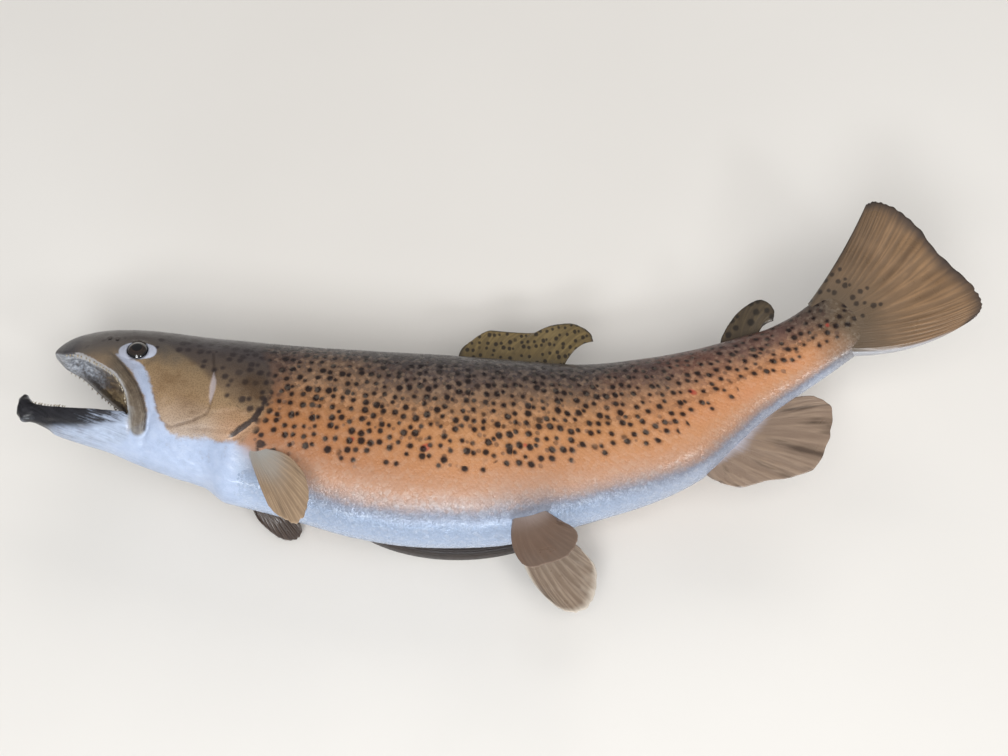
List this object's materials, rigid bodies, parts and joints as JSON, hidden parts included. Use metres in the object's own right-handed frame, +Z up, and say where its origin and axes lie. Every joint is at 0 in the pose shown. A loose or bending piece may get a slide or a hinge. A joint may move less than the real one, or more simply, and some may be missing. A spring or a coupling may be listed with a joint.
{
  "type": "mounted trout",
  "caption": "Life-size mounted brown trout with an open hooked jaw and its tail swept up, lying on its right side on a small oval board.",
  "frame": {"origin": "centre of the oval board's flat underside, which lies on the floor", "axes": "+X from the head towards the tail, along the fish; +Y from the belly towards the back; +Z up, away from the board, towards the fish's left flank"},
  "size_m": [0.5724, 0.2353, 0.1128],
  "materials": {
    "body_skin": "painted and lacquered fish skin, golden flank with dark spots over a pale belly",
    "head_skin": "painted and lacquered, olive brown over grey",
    "pale_skin": "painted and lacquered, bluish white",
    "jaw_skin": "painted and lacquered, black to silver",
    "mouth_lining": "painted, semi-gloss",
    "fin": "dried fin membrane under clear lacquer",
    "glass_eye": "polished glass over a dark iris",
    "board_wood": "black-brown stained, satin"
  },
  "bodies": {
    "root": {"head": "head_skin", "lower_jaw": "jaw_skin", "throat": "pale_skin", "tongue": "mouth_lining", "gill_cover_left": "head_skin", "gill_cover_right": "head_skin", "lip_bone_left": "head_skin", "lip_bone_right": "head_skin", "eye_left": "glass_eye", "eye_right": "glass_eye", "trunk_front": "body_skin", "trunk_middle": "body_skin", "trunk_rear": "body_skin", "tail_stalk": "body_skin", "dorsal_fin": "fin", "adipose_fin": "fin", "tail_fin": "fin", "anal_fin": "fin", "pelvic_fin_left": "fin", "pelvic_fin_right": "fin", "pectoral_fin_left": "fin", "pectoral_fin_right": "fin", "board": "board_wood"}
  },
  "joints": []
}
